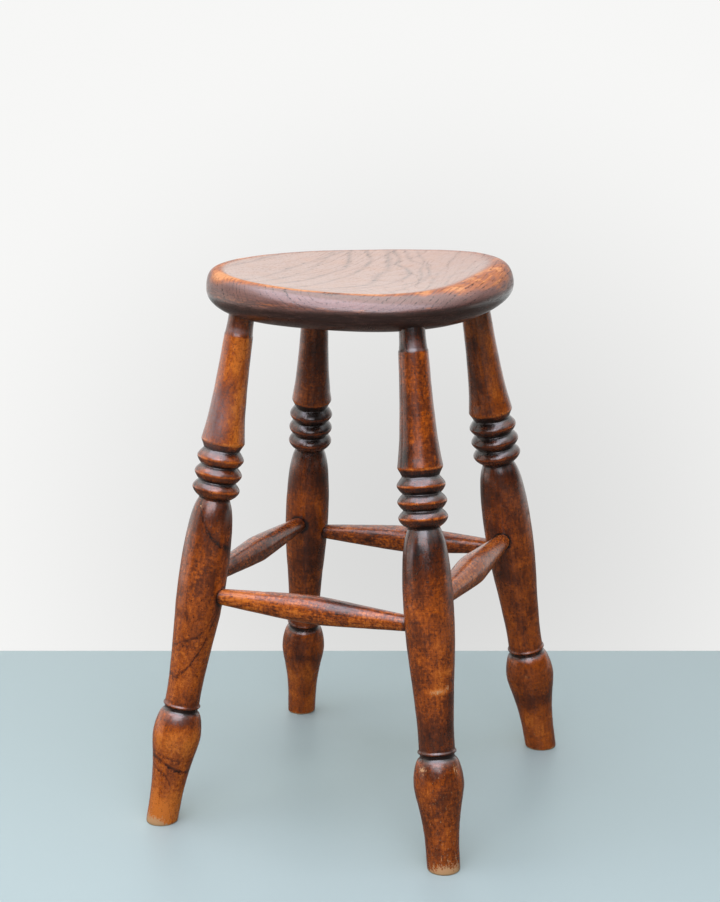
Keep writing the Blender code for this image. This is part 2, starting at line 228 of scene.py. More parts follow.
# Growth lines that stand out, where the tool cut through the end of a year. On a leg: degrees to the right
# of the side that faces the viewer, and millimetres up. On the seat: millimetres to the back and to the
# right, as the viewer sees it. Then the line's width and its strength
GrowthLine = namedtuple("GrowthLine", "course width strength")
GROWTH_LINES = {
    "front_left_leg": (
        GrowthLine(((-150, 72), (-90, 65), (-48, 64), (-22, 61), (1, 57.5), (24, 55), (62, 53),
                    (150, 60)), 2.6, 0.55),
        GrowthLine(((-150, 78), (-76, 70), (-41, 69), (-4, 66), (27, 64.5), (58, 65), (78, 69),
                    (150, 76)), 1.8, 0.3),
        GrowthLine(((-150, 60), (-90, 56), (-39, 53), (-15, 49), (1, 43), (11, 36), (15, 25),
                    (40, 5)), 2.2, 0.35),
        GrowthLine(((-150, 160), (-68, 144), (-32, 143), (-15, 149), (4, 155), (19, 165), (34, 174),
                    (44, 189), (80, 230)), 2.6, 0.5),
        GrowthLine(((-150, 168), (-67, 171), (-28, 177), (-1, 182), (20, 187), (60, 215)), 2.2, 0.3),
        GrowthLine(((-80, 330), (-19, 292), (0, 283), (16, 277), (43, 272), (150, 260)), 3.5, 0.4),
    ),
    "seat": (
        GrowthLine(((-47, -95), (-12, -82), (21, -69), (51, -57), (79, -40)), 3.3, 0.41),
        GrowthLine(((-78, -80), (-58, -70), (-37, -58), (-18, -48), (4, -36), (25, -27), (40, -17),
                    (71, -12), (100, -11)), 3.6, 0.49),
        GrowthLine(((-11, -65), (17, -53), (45, -44), (62, -39), (98, -30)), 3.0, 0.37),
        GrowthLine(((-22, -28), (-1, -18), (24, -5), (39, 0), (57, 6), (80, 9), (102, 7),
                    (119, 6)), 3.6, 0.49),
        GrowthLine(((-62, -14), (-43, 3), (-22, 11), (10, 16), (26, 22), (62, 26), (81, 26),
                    (106, 26)), 5.4, 0.49),
        GrowthLine(((-60, 3), (-44, 19), (-30, 29), (-13, 39), (29, 44), (48, 37), (56, 34), (71, 36),
                    (94, 34)), 3.9, 0.53),
        GrowthLine(((-47, 39), (-32, 52), (-6, 55), (29, 55), (51, 57), (63, 49), (80, 45),
                    (98, 43)), 3.6, 0.44),
        GrowthLine(((-70, 40), (-31, 57), (-13, 61), (9, 63), (43, 62), (59, 60)), 3.3, 0.32),
        GrowthLine(((-60, 76), (-36, 78), (-17, 86), (-6, 96), (12, 110)), 3.0, 0.32),
        GrowthLine(((-70, 60), (-20, 68), (13, 73), (27, 78), (48, 83), (69, 90)), 3.3, 0.29),
        GrowthLine(((58, -93), (75, -84), (87, -77), (96, -71)), 3.3, 0.41),
    ),
}


def linear(code):
    """An sRGB hex colour as the linear RGBA that Blender's sockets take."""
    parts = [int(code[i:i + 2], 16) / 255 for i in (1, 3, 5)]
    return tuple(c / 12.92 if c <= 0.04045 else ((c + 0.055) / 1.055) ** 2.4 for c in parts) + (1.0,)


def colour(code, name, description):
    """A colour that a user may change."""
    return FloatVectorProperty(name=name, description=description, default=linear(code), size=4, min=0.0,
                               max=1.0, subtype="COLOR")


class StoolSizes(bpy.types.PropertyGroup):
    seat_width: FloatProperty(
        name="Seat width", description="Across the seat from left to right, at the widest line of its rim",
        default=SEAT_BOX[1][0] - SEAT_BOX[0][0], min=0.2, max=0.5, unit="LENGTH")
    seat_depth: FloatProperty(
        name="Seat depth", description="Across the seat from front to back, at the widest line of its rim",
        default=SEAT_BOX[1][1] - SEAT_BOX[0][1], min=0.2, max=0.5, unit="LENGTH")
    dish_depth: FloatProperty(
        name="Dish depth", description="How far the middle of the seat lies below its crest",
        default=0.009, min=0.0, max=0.02, unit="LENGTH")
    leg_girth: FloatProperty(
        name="Leg girth", description="Thickness of the turned legs against the usual one",
        default=1.0, min=0.8, max=1.2, subtype="FACTOR")
    stretcher_girth: FloatProperty(
        name="Stretcher girth", description="Thickness of the stretchers against the usual one",
        default=1.0, min=0.8, max=1.2, subtype="FACTOR")


class StoolColours(bpy.types.PropertyGroup):
    elm_pale: colour("#A98C77", "Elm, worn pale", "The dish, polished by use")
    # The dish towards the viewer's right, where it is darker
    elm_tan: colour("#8A6350", "Elm, worn less", "The dish on its less worn side")
    elm_worn: colour("#C4844A", "Elm, rubbed bare", "The crest round the dish, where the stain is gone")
    elm_orange: colour("#A8602A", "Elm, worn orange", "The two ends, where hands have worn the stain thin")
    elm_brown: colour("#704B40", "Elm, stained", "The rim above its widest line")
    # Also paints the shade on the rim below its widest line
    elm_dark: colour("#2E1A13", "Elm, dark", "The rim below its widest line, and the pores")
    beech_rubbed: colour("#CA7022", "Beech, rubbed", "Edges rubbed through to the bright wood")
    beech_orange: colour("#A24D0E", "Beech, orange", "Legs and stretchers where the stain has worn thin")
    beech_brown: colour("#642C0C", "Beech, stained", "Legs and stretchers where the stain is whole")
    beech_bare: colour("#C29565", "Beech, bare", "Scuffed feet and nicks")
    # Also paints sheen and highlights, on the legs and on the stretchers' tops
    bloom_and_sheen: colour("#8B7470", "Bloom", "Old wax gone dull and grey")
    # Its darkest stop is also the painted shade in hollows, round the joints and under the stretchers
    grime_and_shade: colour("#1B0F0B", "Old polish", "Dark wax and dirt in the grooves and round the joints")
    floor: colour("#A0B4AF", "Floor", "The pale floor under the stool")
    floor_in_wax: colour("#40362F", "Floor in the wax", "The floor as the waxed wood mirrors it")
    backdrop: colour("#F2F2F1", "Backdrop", "The pale surroundings")


def add_node(tree, kind, inputs=(), operation=None, **settings):
    """Adds a shader node: inputs gives its sockets a value or a link, and the rest are its own properties.

    Inputs go by socket name, or as a plain list to the sockets in use in their order. A node among them
    stands for its first output in use.
    """
    made = tree.nodes.new("ShaderNode" + kind)
    if operation:
        made.operation = operation
    for name, value in settings.items():
        setattr(made, name, value)
    if isinstance(inputs, dict):
        given = [(made.inputs[name], value) for name, value in inputs.items()]
    else:
        given = list(zip([socket for socket in made.inputs if socket.enabled], inputs))
    for socket, value in given:
        if isinstance(value, bpy.types.Node):
            value = next(output for output in value.outputs if output.enabled)
        if isinstance(value, bpy.types.NodeSocket):
            tree.links.new(value, socket)
        else:
            socket.default_value = value
    return made


def emptied(owner):
    """Empties the node tree of a material or world, and gives what adds a node to it."""
    owner.use_nodes = True
    owner.node_tree.nodes.clear()
    return partial(add_node, owner.node_tree)


def set_stops(ramp, *stops):
    """Gives a colour ramp its stops, each a position and a colour; a plain number is a grey."""
    elements = ramp.color_ramp.elements
    elements[0].position, elements[1].position = stops[0][0], stops[-1][0]
    for position, _ in stops[1:-1]:
        elements.new(position)
    for element, (_, shade) in zip(elements, stops):
        element.color = (shade, shade, shade, 1) if isinstance(shade, (int, float)) else shade


def layered(node, base, *shares):
    """The base plus each source times its share."""
    for source, share in shares:
        base = node("Math", (source, share, base), "MULTIPLY_ADD")
    return base


def patterned(node, follows, size, detail, roughness=0.5):
    """Noise of a real size across, along and up the coordinates that it follows, in millimetres."""
    scaled = node("Mapping", {"Vector": follows, "Scale": [1 / (mm * MM) for mm in size]})
    return node("TexNoise", {"Vector": scaled, "Scale": 1.0, "Detail": detail, "Roughness": roughness})


def swayed(node, grain, sway, reach):
    """Coordinates of the grain, pushed about by a noise as far as reach, in millimetres."""
    level = node("VectorMath", (sway.outputs["Color"], (0.5, 0.5, 0.5)), "SUBTRACT")
    return node("VectorMath", (level, [reach * MM] * 3, grain), "MULTIPLY_ADD")


def years_grown(node, grain, across, year):
    """How many years the tree had grown at a point: across picks the axes that lead away from its heart."""
    away = node("VectorMath", (grain, across), "MULTIPLY")
    radius = node("VectorMath", (away,), "LENGTH")
    return node("Math", (radius, year * MM), "DIVIDE")


def lines_drawn(node, lines, where, frayed, span, lift):
    """How strongly growth lines show: each one is a curve of the frayed place over where.

    A curve holds only 0 to 1, so where goes from 0 to 1 over the span, and lift raises the places.
    """
    shown = 0.0
    for line in lines:
        curve = node("FloatCurve", {"Value": where})
        points = curve.mapping.curves[0].points
        spots = [(0.5 + along / span, place * MM + lift) for along, place in line.course]
        points[0].location, points[1].location = spots[0], spots[-1]
        for spot in spots[1:-1]:
            points.new(*spot)
        curve.mapping.update()
        off = node("Math", (frayed, curve), "SUBTRACT")
        apart = node("Math", (off,), "ABSOLUTE")
        drawn = node("MapRange", (apart, line.width * MM, 0.0, 0.0, line.strength))
        shown = node("Math", (drawn, shown), "MAXIMUM")
    return shown


def elm_material(colours):
    """Flat-sawn elm, hollowed by hand, scraped and waxed.

    The eye gets thin ring lines in nested arches over the dish, because the rings curve through the board,
    open pores as dark dashes on top and as dots on the front edge, a pale polished dish, an orange crest
    where the stain is rubbed off, and a nearly black lower rim, part stain and part painted shade, with
    streaks along it.
    """
    material = bpy.data.materials.new("elm_flat_sawn_waxed")
    node = emptied(material)
    place = node("TexCoord").outputs["Object"]
    dish, crest, under, edge, held = [
        node("Attribute", attribute_name=mark).outputs["Fac"] for mark in ELM_MARKS]
    # The heart of the tree ran front to back above this board, rising to the back
    turn = Euler((math.radians(-6.5), 0.0, math.radians(3.0)))
    heart = Vector((0.03, 0.0, 0.595))
    grain = node("Mapping", {"Vector": place, "Rotation": turn, "Location": -(turn.to_matrix() @ heart)})
    # The grain sways: size of the swaying across, along and up in millimetres, and how far it goes
    sways = []
    for size, reach in (((60, 200, 60), 20.0), ((16, 40, 16), 2.4), ((5, 14, 5), 0.35)):
        sways.append(patterned(node, place, size, 1.0))
        grain = swayed(node, grain, sways[-1], reach)
    # A year's growth is about 4 mm, and no two years are alike. Each begins with a ring of open pores
    years = years_grown(node, grain, (1.0, 0.0, 1.0), 4)
    uneven = node("TexNoise", {"W": years, "Scale": 0.35, "Detail": 0.0}, noise_dimensions="1D")
    year = node("Math", (uneven, 1.5, years), "MULTIPLY_ADD")
    season = node("Math", (year,), "FRACT")
    spring = node("ValToRGB", (season,))
    set_stops(spring, (0.0, 1), (0.1, 0.9), (0.2, 0.25), (0.4, 0.08), (0.55, 0.22), (0.62, 0.05),
              (0.9, 0.1), (1.0, 0.55))
    which = node("Math", (year,), "FLOOR")
    chance = node("TexWhiteNoise", (which,), noise_dimensions="1D")
    strength = node("MapRange", (chance, 0.0, 1.0, 0.25, 0.95))
    # Sizes across, along and up in millimetres. Pores are 0.3 mm wide, and drawn at 0.8 mm so that they show
    pores = patterned(node, grain, (0.8, 7, 0.8), 1.0)
    fibre = patterned(node, grain, (1.5, 60, 1.5), 3.0)
    dashes = patterned(node, grain, (8, 26, 8), 2.0)
    streaks = patterned(node, place, (14, 14, 0.9), 3.0)
    patches = patterned(node, place, (22, 22, 14), 4.0)
    # The ring lines come and go
    broken = node("MapRange", (dashes, 0.4, 0.6, 0.35), interpolation_type="SMOOTHSTEP")
    shown = node("MapRange", (sways[0], 0.38, 0.58, 1.0, 0.55))
    often = node("Math", (broken, shown), "MULTIPLY")
    drawn = node("Math", (often, strength), "MULTIPLY")
    line = node("Math", (spring, drawn), "MULTIPLY")
    open_pore = node("MapRange", (pores, 0.54, 0.64), interpolation_type="SMOOTHSTEP")
    gather = node("Math", (spring, 0.8, 0.15), "MULTIPLY_ADD")
    pore = node("Math", (open_pore, gather), "MULTIPLY")
    # The stain on the rim: rubbed off on the crest, scraped at the edge, built up and streaked below, where
    # painted shade darkens it too
    scraped = node("MapRange", (streaks, 0.49, 0.58), interpolation_type="SMOOTHSTEP")
    scraped_edge = node("Math", (scraped, edge), "MULTIPLY")
    uneven_wear = node("MapRange", (patches, 0.35, 0.6, 1.15, 0.55))
    rubbed_crest = node("Math", (crest, uneven_wear), "MULTIPLY")
    level = node("Math", (streaks, 0.5), "SUBTRACT")
    streaked = node("Math", (level, under), "MULTIPLY")
    lean = node("Math", (fibre, 0.5), "SUBTRACT")
    combed = node("Math", (lean, crest), "MULTIPLY")
    fibre_share, patch_share = 0.25, 0.3
    # Noise lies about 0.5, so half of its shares comes off the usual depth
    usual = 0.52 - 0.5 * (fibre_share + patch_share)
    depth = layered(node, usual, (streaked, 1.0), (fibre, fibre_share), (patches, patch_share),
                    (combed, 0.8), (under, 0.45), (rubbed_crest, -0.6), (scraped_edge, -0.45))
    rim = node("ValToRGB", (depth,))
    set_stops(rim, (0.0, colours.elm_worn), (0.16, colours.elm_orange), (0.45, colours.elm_brown),
              (0.98, colours.elm_dark))
    # The dish is pale, a little darker in patches, and darker towards the viewer's right
    shade = node("MapRange", (fibre, 0.35, 0.75, 0.0, 0.25))
    faced = node("VectorRotate", {"Vector": place, "Angle": -VIEW_TURN}, rotation_type="Z_AXIS")
    split = node("SeparateXYZ", (faced,))
    aside = node("MapRange", (split.outputs["X"], 20 * MM, 110 * MM, 0.0, 0.45))
    stained = node("Math", (shade, aside), "ADD")
    pale = node("Mix", (stained, colours.elm_pale, colours.elm_tan), data_type="RGBA")
    warm = node("MapRange", (patches, 0.45, 0.75, 0.0, 0.12))
    patchy = node("Mix", (warm, pale, colours.elm_worn), data_type="RGBA")
    ground = node("Mix", (dish, rim, patchy), data_type="RGBA")
    # Pores are filled with wax in the dish; on the rim the lines are rows of pores
    filled = node("Math", (dish, -0.75, 1.0), "MULTIPLY_ADD")
    dots = node("Math", (pore, filled), "MULTIPLY")
    dotted = node("MapRange", (pores, 0.44, 0.58, 0.3, 2.2))
    clear = node("Mix", (dish, dotted, 0.5), data_type="FLOAT")
    faint = node("Math", (line, clear, dots), "MULTIPLY_ADD")
    # Hands have rubbed the crest smooth
    smooth = node("Math", (crest, -0.6, 1.0), "MULTIPLY_ADD")
    faint = node("Math", (faint, smooth), "MULTIPLY")
    # The lines that stand out in the dish wander, up to 6 and 2 mm, and come and go
    span, lift = 400, 0.5
    course_at = node("MapRange", (split.outputs["Y"], -span / 2 * MM, span / 2 * MM))
    frayed = node("Math", (split.outputs["X"], lift - 4 * MM), "ADD")
    frayed = layered(node, frayed, (dashes, 6 * MM), (pores, 2 * MM))
    drawn = lines_drawn(node, GROWTH_LINES["seat"], course_at, frayed, span, lift)
    hold = node("MapRange", (broken, 0.0, 1.0, 0.4, 1.0))
    stands_out = node("Math", (drawn, hold), "MULTIPLY")
    ink = node("Math", (stands_out, dish, faint), "MULTIPLY_ADD", use_clamp=True)
    final = node("Mix", (ink, ground, colours.elm_dark), data_type="RGBA")
    # Waxed wood is satin: smoother on the rim, duller where the dish is worn, and hands take the wax off
    satin = node("MapRange", (patches, 0.3, 0.7, 0.26, 0.36))
    rough = layered(node, satin, (dish, 0.12), (crest, 0.2), (pore, 0.6))
    waxed = node("Math", (held, -1.1, 0.9), "MULTIPLY_ADD", use_clamp=True)
    height = layered(node, 0.0, (fibre, 0.3), (pore, -0.8))
    relief = node("Bump", {"Height": height, "Strength": 0.6, "Distance": 0.4 * MM})
    shader = node("BsdfPrincipled", {
        "Base Color": final, "Roughness": rough, "Normal": relief, "IOR": 1.5, "Specular IOR Level": 0.35,
        "Coat Weight": waxed, "Coat Roughness": 0.2, "Coat Normal": relief})
    node("OutputMaterial", {"Surface": shader})
    return material


def beech_material(name, colours, seed, stain, mottle, figure, heart, streaks):
    """Beech, turned, stained and waxed.

    The eye gets growth bands that bend into arches where the turning cuts through them, blotches and dark
    specks where the stain sank in, bright orange where it is rubbed through and a little painted light, old
    dark polish and painted shade in the hollows, grey bloom and painted sheen, and a satin gloss. stain is
    its depth: 0 is rubbed to orange and 1 is nearly black.
    """
    material = bpy.data.materials.new("beech_turned_stained_" + name)
    node = emptied(material)
    pick = random.Random(seed)
    place = node("Attribute", attribute_name="grain").outputs["Vector"]
    grime_and_shade, wear_and_light, bare, bloom_and_sheen = [
        node("Attribute", attribute_name=mark).outputs["Fac"] for mark in BEECH_MARKS]
    own = node("VectorMath", (place, [pick.uniform(1, 9) for _ in range(3)]), "ADD")
    # The heart of the tree ran 45 mm beside this blank's axis, a little aslant to it
    away = TOWARDS_VIEWER + math.radians(heart)
    aslant = node("Mapping", {
        "Vector": place, "Location": (45 * MM * math.cos(away), 45 * MM * math.sin(away), 0.0),
        "Rotation": (pick.uniform(-0.04, 0.04), pick.uniform(-0.04, 0.04), 0.0)})
    # Sizes across the blank, twice, and along it in millimetres; the turner's tool left the last pattern
    sway = patterned(node, own, (28, 28, 70), 2.0, 0.6)
    cloud = patterned(node, own, (14, 14, 22), 4.0, 0.6)
    blotch = patterned(node, own, (2.6, 2.6, 2.9), 4.0, 0.6)
    fibre = patterned(node, own, (1.6, 1.6, 30), 3.0, 0.6)
    fray = patterned(node, own, (1.4, 1.4, 9), 2.0, 0.6)
    fleck = patterned(node, own, (1.2, 1.2, 1.5), 2.0, 0.6)
    tool = patterned(node, own, (60, 60, 0.9), 2.0, 0.6)
    # A year's growth is about 4.5 mm, and ends in a thin dark line, which shows in places
    years = years_grown(node, swayed(node, aslant, sway, 7), (1.0, 1.0, 0.0), 4.5)
    season = node("Math", (years,), "FRACT")
    band = node("ValToRGB", (season,))
    set_stops(band, (0.0, 0.15), (0.1, 0.0), (0.7, 0.1), (0.78, 0.25), (0.83, 1.0), (0.9, 0.8), (1.0, 0.15))
    shown = node("MapRange", (sway, 0.4, 0.62, 0.05, figure))
    figured = node("Math", (band, shown), "MULTIPLY")
    speck = node("MapRange", (fleck, 0.6, 0.68), interpolation_type="SMOOTHSTEP")
    bright = node("MapRange", (fleck, 0.4, 0.3), interpolation_type="SMOOTHSTEP")
    growth = []
    if name in GROWTH_LINES:
        # The lines that stand out: each one's height round the leg is a curve, frayed by up to 8 mm
        split = node("SeparateXYZ", (place,))
        faced = node("VectorRotate", {"Vector": place, "Angle": -TOWARDS_VIEWER}, rotation_type="Z_AXIS")
        beside = node("SeparateXYZ", (faced,))
        turn = node("Math", (beside.outputs["Y"], beside.outputs["X"]), "ARCTAN2")
        course_at = node("MapRange", (turn, -math.pi, math.pi))
        frayed = node("Math", (blotch, 8 * MM, split.outputs["Z"]), "MULTIPLY_ADD")
        drawn = lines_drawn(node, GROWTH_LINES[name], course_at, frayed, 360, 4 * MM)
        broken = node("MapRange", (cloud, 0.35, 0.55, 0.25))
        growth.append((node("Math", (drawn, broken), "MULTIPLY"), 1.0))
    # Old polish and painted shade calm the mottle
    level = node("Math", (blotch, 0.5), "SUBTRACT")
    spotted = node("Math", (bright, -0.17, level), "MULTIPLY_ADD")
    calm = node("MapRange", (grime_and_shade, 0.1, 0.55, 1.0, 0.35))
    mottled = node("Math", (spotted, calm), "MULTIPLY")
    cloud_share, tool_share = 1.0, 0.32
    # Noise lies about 0.5, so half of its shares comes off the stain
    usual = stain - 0.5 * (cloud_share + streaks + tool_share) - 0.03
    depth = layered(node, usual, (cloud, cloud_share), (mottled, 1.3 * mottle), (fibre, streaks),
                    (tool, tool_share), (figured, 1.0), *growth, (speck, 0.45), (grime_and_shade, 1.0), (wear_and_light, -0.75))
    stained = node("ValToRGB", (depth,))
    set_stops(stained, (0.0, colours.beech_rubbed), (0.28, colours.beech_orange),
              (0.6, colours.beech_brown), (1.0, colours.grime_and_shade))
    # Grey bloom, partly painted sheen and highlights
    misty = node("Math", (bloom_and_sheen, blotch), "MULTIPLY", use_clamp=True)
    with_bloom_and_sheen = node("Mix", (misty, stained, colours.bloom_and_sheen), data_type="RGBA")
    ragged = node("Mix", (0.5, fleck, fray), data_type="FLOAT")
    scuffed = node("Math", (bare, 0.35, ragged), "MULTIPLY_ADD")
    showing = node("MapRange", (scuffed, 0.68, 0.76))
    final = node("Mix", (showing, with_bloom_and_sheen, colours.beech_bare), data_type="RGBA")
    # Waxed beech is satin, duller where bare, and shines most where old polish and painted shade lie thick
    satin = node("MapRange", (cloud, 0.3, 0.7, 0.22, 0.32))
    rough = node("Math", (showing, 0.3, satin), "MULTIPLY_ADD")
    height = layered(node, fibre, (speck, -0.5), (tool, 0.6))
    relief = node("Bump", {"Height": height, "Strength": 0.25 + 0.3 * streaks, "Distance": 0.3 * MM})
    polished = node("Math", (grime_and_shade, 0.7, 0.75 - 0.25 * streaks), "MULTIPLY_ADD", use_clamp=True)
    shader = node("BsdfPrincipled", {
        "Base Color": final, "Roughness": rough, "Normal": relief, "IOR": 1.5, "Specular IOR Level": 0.3,
        "Coat Weight": polished, "Coat Roughness": 0.19, "Coat Normal": relief})
    node("OutputMaterial", {"Surface": shader})
    return material


def fair(points, step):
    """(along, radius) about every step, on a smooth curve through the points that never overshoots them."""
    steep = [(b[1] - a[1]) / (b[0] - a[0]) for a, b in zip(points, points[1:])]
    slope = [steep[0]]
    for a, b in zip(steep, steep[1:]):
        slope.append(2 * a * b / (a + b) if a * b > 0 else 0.0)
    slope.append(steep[-1])
    curve = []
    for a, b, m, n in zip(points, points[1:], slope, slope[1:]):
        run = b[0] - a[0]
        count = max(1, round(run / step))
        for i in range(count):
            t = i / count
            radius = ((1 + 2 * t) * (1 - t) ** 2 * a[1] + t * (1 - t) ** 2 * run * m
                      + t * t * (3 - 2 * t) * b[1] + t * t * (t - 1) * run * n)
            curve.append((a[0] + run * t, radius))
    curve.append(points[-1])
    return curve


def between(x, xs, ys):
    """ys at x, straight between the places xs."""
    for x0, x1, y0, y1 in zip(xs, xs[1:], ys, ys[1:]):
        if x <= x1:
            break
    return y0 + (y1 - y0) * (x - x0) / (x1 - x0)


def clamp(value):
    """The value, kept within 0 and 1."""
    return min(1.0, max(0.0, value))


def step_up(value, low, high):
    """0 below low, 1 above high, and an even S between; low may be above high."""
    t = clamp((value - low) / (high - low))
    return t * t * (3 - 2 * t)


def hump(distance, reach):
    """1 in the middle, falling away evenly on both sides."""
    return math.exp(-(distance / reach) ** 2)


def turn_gap(a, b):
    """The angle from b to a, the short way round."""
    return (a - b + math.pi) % (2 * math.pi) - math.pi


def lobe(angle, middle, reach):
    """A hump on a circle, with its middle and reach in degrees."""
    return hump(turn_gap(angle, math.radians(middle)), math.radians(reach))


def turns(sides):
    """Even angles, once round a circle."""
    return [2 * math.pi * i / sides for i in range(sides)]


def around(sides, along, seed):
    """Round a turned piece: each angle, the way out there, and a place in the noise of its unevenness."""
    for angle in turns(sides):
        out = Vector((math.cos(angle), math.sin(angle), 0.0))
        yield angle, out, Vector((out.x * 2, out.y * 2, along)) + Vector(seed)


def leg_profile(leg, length):
    """(along, radius) of one leg in millimetres, with its own landmarks and girth."""
    shifts = (0, leg.bulb_shift, leg.bulb_shift, leg.ring_shift, leg.ring_shift)
    own = [place + shift for place, shift in zip(TURNING_LANDMARKS, shifts)] + [length - NECK, length]
    rows = []
    for stretch in TURNING:
        short = stretch[-1][0] - stretch[0][0] < 20
        rows += fair(stretch, 0.7 if short else 1.5)[:-1]
    rows.append(TURNING[-1][-1])
    profile = []
    for along, radius in rows:
        girth = leg.girth if along < SHOULDER else 1.0
        profile.append((between(along, TURNING_LANDMARKS, own), radius * girth))
    return profile


def hollows(profile, reach):
    """How far each row lies below (+) or above (-) the mean radius of its surroundings."""
    result = []
    for along, radius in profile:
        near = [r for s, r in profile if abs(s - along) < reach]
        result.append(sum(near) / len(near) - radius)
    return result


def put_in_scene(name, data):
    """A new object, in the scene's own collection."""
    obj = bpy.data.objects.new(name, data)
    bpy.context.scene.collection.objects.link(obj)
    return obj


def loft(name, rings, marks, stand):
    """A closed mesh through rings of points, with a fan over each end.

    Marks are numbers kept on its points, and grain keeps where each point lies along the piece's own axis,
    before stand puts it in its place.
    """
    sides = len(rings[0])
    points = [Vector(point) for ring in rings for point in ring]
    faces = []
    for k in range(len(rings) - 1):
        low, high = k * sides, (k + 1) * sides
        for i in range(sides):
            j = (i + 1) % sides
            faces.append((low + i, low + j, high + j, high + i))
    for start, facing in ((0, -1), ((len(rings) - 1) * sides, 1)):
        middle = len(points)
        points.append(sum(points[start:start + sides], Vector()) / sides)
        for i in range(sides):
            fan = (start + i, start + (i + 1) % sides, middle)
            faces.append(fan[::facing])
        for values in marks.values():
            values.append(values[start])
    mesh = bpy.data.meshes.new(name)
    mesh.from_pydata([stand @ point for point in points], [], faces)
    for mark, values in marks.items():
        mesh.attributes.new(mark, "FLOAT", "POINT").data.foreach_set("value", values)
    flat = [number for point in points for number in point]
    mesh.attributes.new("grain", "FLOAT_VECTOR", "POINT").data.foreach_set("vector", flat)
    mesh.shade_smooth()
    return put_in_scene(name, mesh)


def upright_frame(start, end):
    """Places +Z along start to end, with +X as near as it can be to the stool's own."""
    z = (end - start).normalized()
    x = Vector((0, 1, 0)).cross(z)
    if x.length < 0.5:
        x = Vector((0, 0, 1)).cross(z) * -1
    x.normalize()
    y = z.cross(x)
    turn = Matrix((x, y, z)).transposed().to_4x4()
    return Matrix.Translation(start) @ turn


def axis_point(leg, height):
    """The point on a leg's axis at a height above the floor."""
    foot, socket = Vector((*leg.foot, 0.0)), Vector((*leg.socket, UNDERSIDE))
    return foot.lerp(socket, height / UNDERSIDE)


def ends_of(stretcher):
    """The points where a stretcher's axis meets those of its two legs."""
    first, second = LEGS[stretcher.first], LEGS[stretcher.second]
    return axis_point(first, stretcher.low), axis_point(second, stretcher.high)


def joints_on(leg_name):
    """The points on this leg's axis where stretchers meet it, and the direction each leaves in."""
    found = []
    for stretcher in STRETCHERS.values():
        first, second = ends_of(stretcher)
        if leg_name == stretcher.first:
            found.append((first, (second - first).normalized()))
        if leg_name == stretcher.second:
            found.append((second, (first - second).normalized()))
    return found


def patch_marks(patches, along, angle, radius, facing):
    """What the patches add to each mark at a point of a turned piece."""
    found = dict.fromkeys(BEECH_MARKS, 0.0)
    for patch in patches:
        up = along - patch.along
        if abs(up) < 2.5 * patch.reach_along:
            aside = turn_gap(angle, facing + math.radians(patch.turn)) * radius - patch.slant * up
            shown = patch.strength * hump(up, patch.reach_along) * hump(aside, patch.reach_round)
            found[patch.mark] += shown
    return found


def pick_dents(pick, count, along, reach, sink):
    """Dents of use: where each lies along and round a piece, how far it reaches and how deep it is."""
    ranges = (along, (-math.pi, math.pi), reach, sink)
    return [[pick.uniform(*limits) for limits in ranges] for _ in range(count)]


def dented(dents, along, angle, radius):
    """How deep the deepest dent is at a point of a turned piece, in millimetres."""
    nick = 0.0
    for s, a, reach, sink in dents:
        if abs(s - along) < 3 * reach:
            apart = math.hypot(s - along, turn_gap(angle, a) * radius)
            nick = max(nick, hump(apart, reach) * sink)
    return nick


def ride_for(obj, node):
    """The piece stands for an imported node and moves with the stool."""
    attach(obj, "root")
    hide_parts(node)


